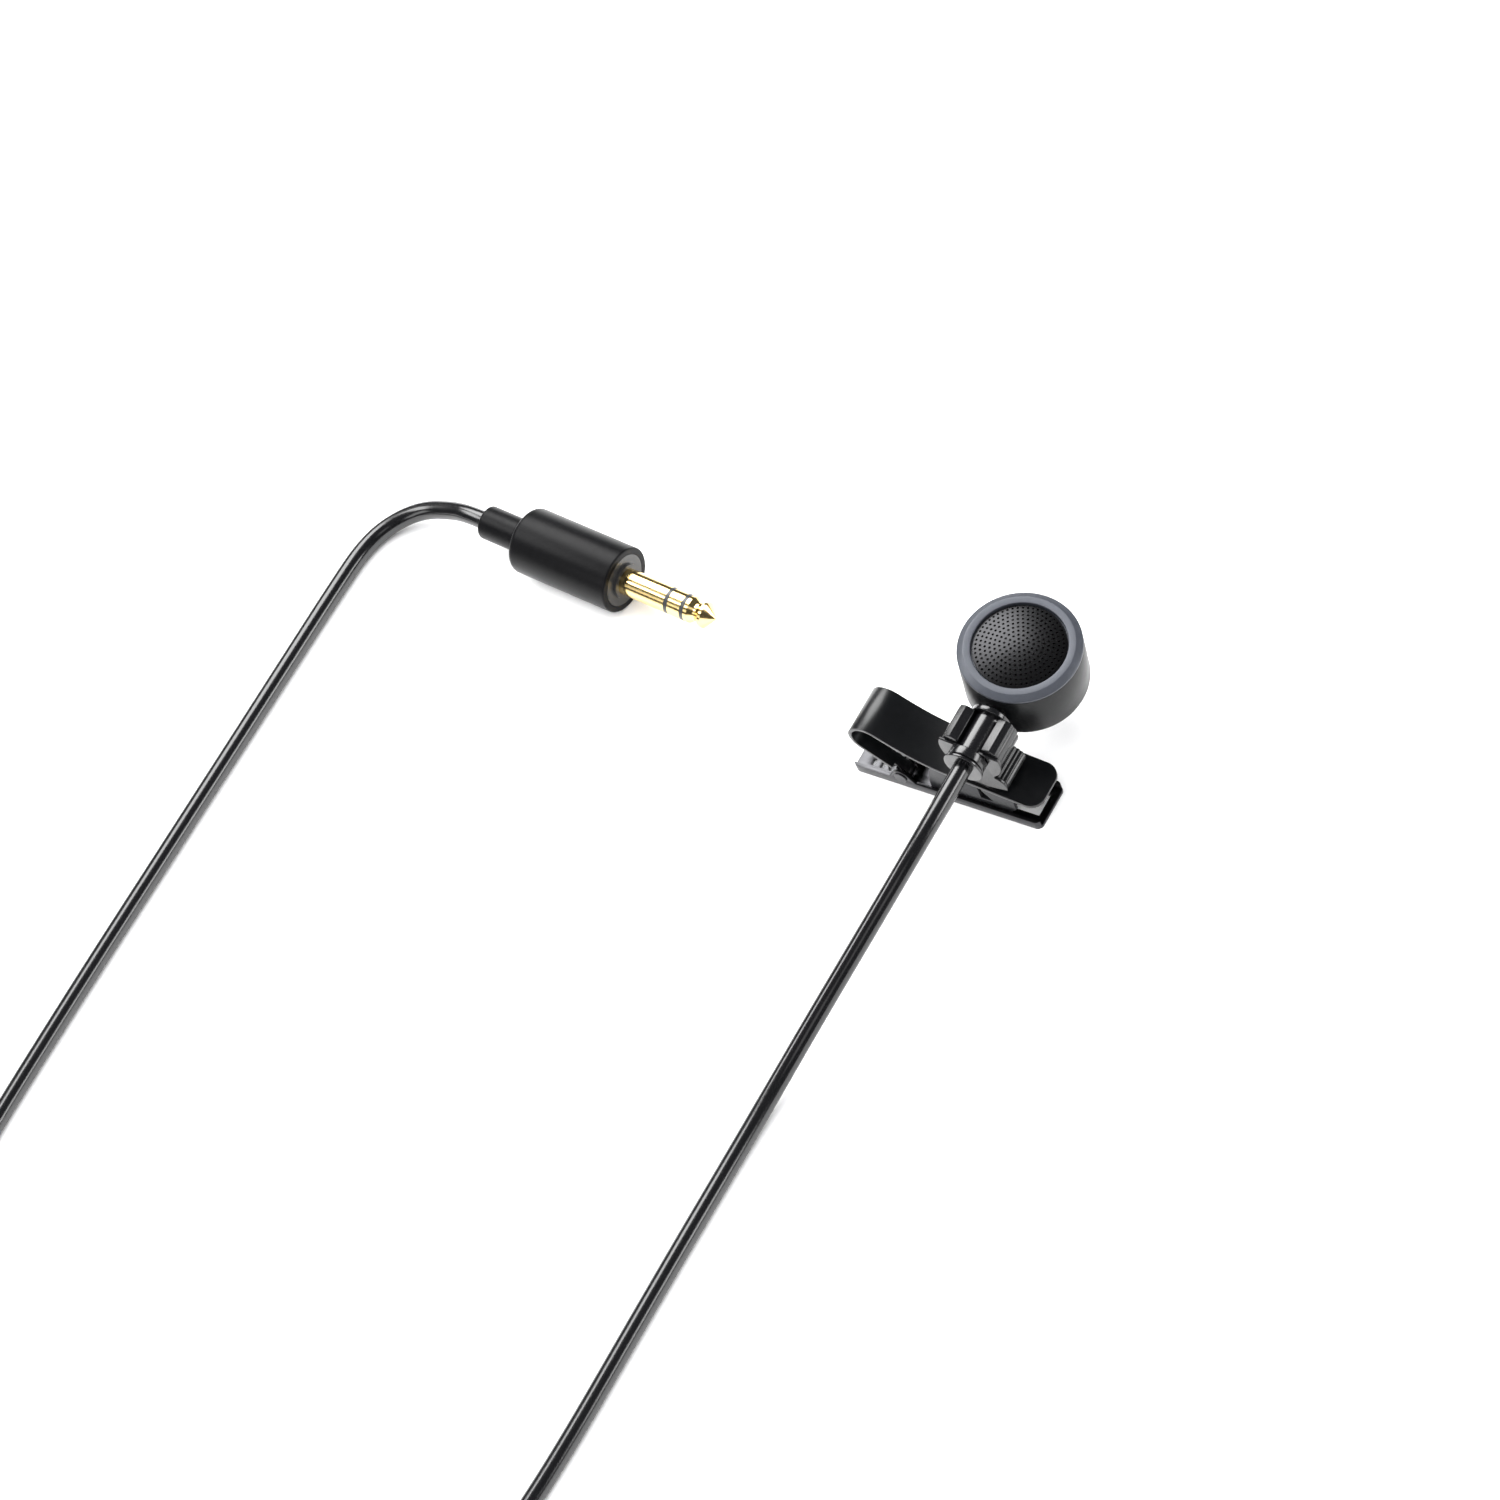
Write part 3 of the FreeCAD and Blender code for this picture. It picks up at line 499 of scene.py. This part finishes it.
def make_cable():
    route = MIC_ROUTE + coil_points() + PLUG_ROUTE
    curve = bpy.data.curves.new("cable", "CURVE")
    curve.dimensions = "3D"
    curve.bevel_depth = CABLE_DIAMETER / 2 * MM
    curve.bevel_resolution = 6
    curve.resolution_u = 10
    curve.use_fill_caps = True
    spline = curve.splines.new("NURBS")
    spline.points.add(len(route) - 1)
    for point, centre in zip(spline.points, route):
        point.co = (*metres(centre), 1)
    spline.order_u = 3
    spline.use_endpoint_u = True
    cable = bpy.data.objects.new("cable", curve)
    bpy.context.scene.collection.objects.link(cable)
    return dress(cable, "cable", "microphone", ("cable_mic_run", "cable_coil", "cable_plug_run"))


make_camera()
make_stage()
cable = make_cable()

# --- plug ---------------------------------------------------------------------------
boot_end = BOOT_LENGTH + BOOT_INSIDE
boot = lathe("plug_boot_piece", rounded([
    (BOOT_BORE, 0, 0), (BOOT_RADIUS, 0, 0.35), (BOOT_RADIUS, boot_end, 0),
    (BOOT_BORE, boot_end, 0)]), PLUG)
dress(boot, "plug_body", "microphone", ("plug_boot",))

barrel_end = BOOT_LENGTH + BARREL_LENGTH
barrel_inner = BARREL_RADIUS - BARREL_WALL
barrel_back = BOOT_LENGTH + BARREL_BACK
barrel = lathe("plug_barrel_piece", rounded([
    (BARREL_BORE, BOOT_LENGTH, 0), (BARREL_RADIUS, BOOT_LENGTH, 0.8),
    (BARREL_RADIUS, barrel_end, 0.25), (barrel_inner, barrel_end, 0.1),
    (barrel_inner, barrel_back, 0), (BARREL_BORE, barrel_back, 0)], steps=6), PLUG)
dress(barrel, "plug_body", "microphone", ("plug_barrel",))

# --- head ---------------------------------------------------------------------------
shell = softened("head_shell_piece", "head_shell", SHELL_EDGE)
dress(shell, "shell", "microphone", ("head_shell",))

bezel = lathe("bezel_piece", rounded(BEZEL_PROFILE), HEAD, BEZEL_SEGMENTS)
dress(bezel, "bezel", "microphone", ("bezel_ring",))

# --- stem and nut -------------------------------------------------------------------
stem = lathe("stem_piece", rounded(STEM_PROFILE), STEM)
dress(stem, "stem", "microphone", ("stem",))

nut = lathe("stem_nut_piece", rounded(NUT_PROFILE), STEM)
dress(nut, "stem", "microphone", ("stem_nut",))

# --- holder -------------------------------------------------------------------------
tilt = math.radians(HOLDER_TILT)
strap_top = -(BOOM_X - STRAP_FACE[0]) * math.sin(tilt) - (BOOM_Z - STRAP_FACE[1]) * math.cos(tilt)


def fluted(centre, radius, start, end, grooves, width, step):
    """Arc from start to end in degrees with soft grooves, each an angle and a depth."""
    count = max(2, round(abs(end - start) / step))
    points = []
    for i in range(count + 1):
        angle = start + (end - start) * i / count
        cut = sum(depth * math.exp(-((angle - groove) / width) ** 2) for groove, depth in grooves)
        points.append(on_circle(centre, radius - cut, angle))
    return points


def foot(boss_radius):
    """Lower part of the outline, from the boss along the strap and up to the web's left."""
    return rounded([
        (BOSS[0] + boss_radius, strap_top, 0.3), (FOOT_LEFT, strap_top, 0.1),
        (FOOT_LEFT, strap_top + FOOT_HEIGHT, 0.15), (WEB_LEFT, strap_top + FOOT_HEIGHT, 0)])


def arm_top(side):
    """Top of one arm from the throat outward; side is -1 at the left and 1 at the right."""
    outer = Vector((ARM_OUTER[0] * side, ARM_OUTER[1])).normalized() * (HOLDER_RADIUS + ARM_PROUD)
    return rounded([
        (THROAT * side, ARM_ROOT_Z, 0), (THROAT * side, ARM_INNER_Z, 0.14),
        (ARM_RIDGE[0] * side, ARM_RIDGE[1], 0.1), (outer.x, outer.y, 0.22),
        (outer.x, outer.y - ARM_OUTER_DROP, 0)])[:-1]


def holder_outline():
    """Outline of the C, its web, the boss beside it and the foot."""
    right = fluted((0, 0), HOLDER_RADIUS, *RIGHT_ARC, RIGHT_GROOVES, GROOVE_WIDTH, OUTLINE_STEP)
    boss = fluted(BOSS, BOSS_RADIUS, *BOSS_ARC, BOSS_GROOVES, BOSS_GROOVE_WIDTH, BOSS_STEP)
    left = fluted((0, 0), HOLDER_RADIUS, *LEFT_ARC, LEFT_GROOVES, GROOVE_WIDTH, OUTLINE_STEP)
    bore = arc((0, 0), HOLDER_BORE, *BORE_ARC, 40)
    return arm_top(1) + right + boss + foot(BOSS_RADIUS) + left + arm_top(-1)[::-1] + bore


def flange_outline():
    """Outline of the thin plate at the holder's near end, which stops lower at the arms."""
    top = math.degrees(math.asin(FLANGE_TOP / FLANGE_RADIUS))
    inner = math.degrees(math.asin(FLANGE_TOP / HOLDER_BORE))
    right = arc((0, 0), FLANGE_RADIUS, top, RIGHT_ARC[1], 30)
    boss = arc(BOSS, FLANGE_BOSS_RADIUS, *BOSS_ARC, 24)
    left = arc((0, 0), FLANGE_RADIUS, LEFT_ARC[0], 180 - top, 30)
    bore = arc((0, 0), HOLDER_BORE, 180 - inner, 360 + inner, 40)
    return right + boss + foot(FLANGE_BOSS_RADIUS) + left + bore


holder = extruded("holder_piece", holder_outline(), *HOLDER_Y, HOLDER, HOLDER_RIM)
dress(holder, "holder", "clip_upper", ("holder",))
flange = extruded("holder_flange_piece", flange_outline(), *FLANGE_Y, HOLDER, FLANGE_RIM)
dress(flange, "holder", "clip_upper")

# --- clip ---------------------------------------------------------------------------
for node, body, slot, width in CLIP_PIECES:
    piece = softened(node + "_piece", node, width)
    dress(piece, slot, body, (node,))

# --- carried-over nodes ---------------------------------------------------------------
for part in frame["record"]["subparts"]:
    obj = nodes[part["node"]]
    if not obj.hide_render:
        dress(obj, part["material_slot"])
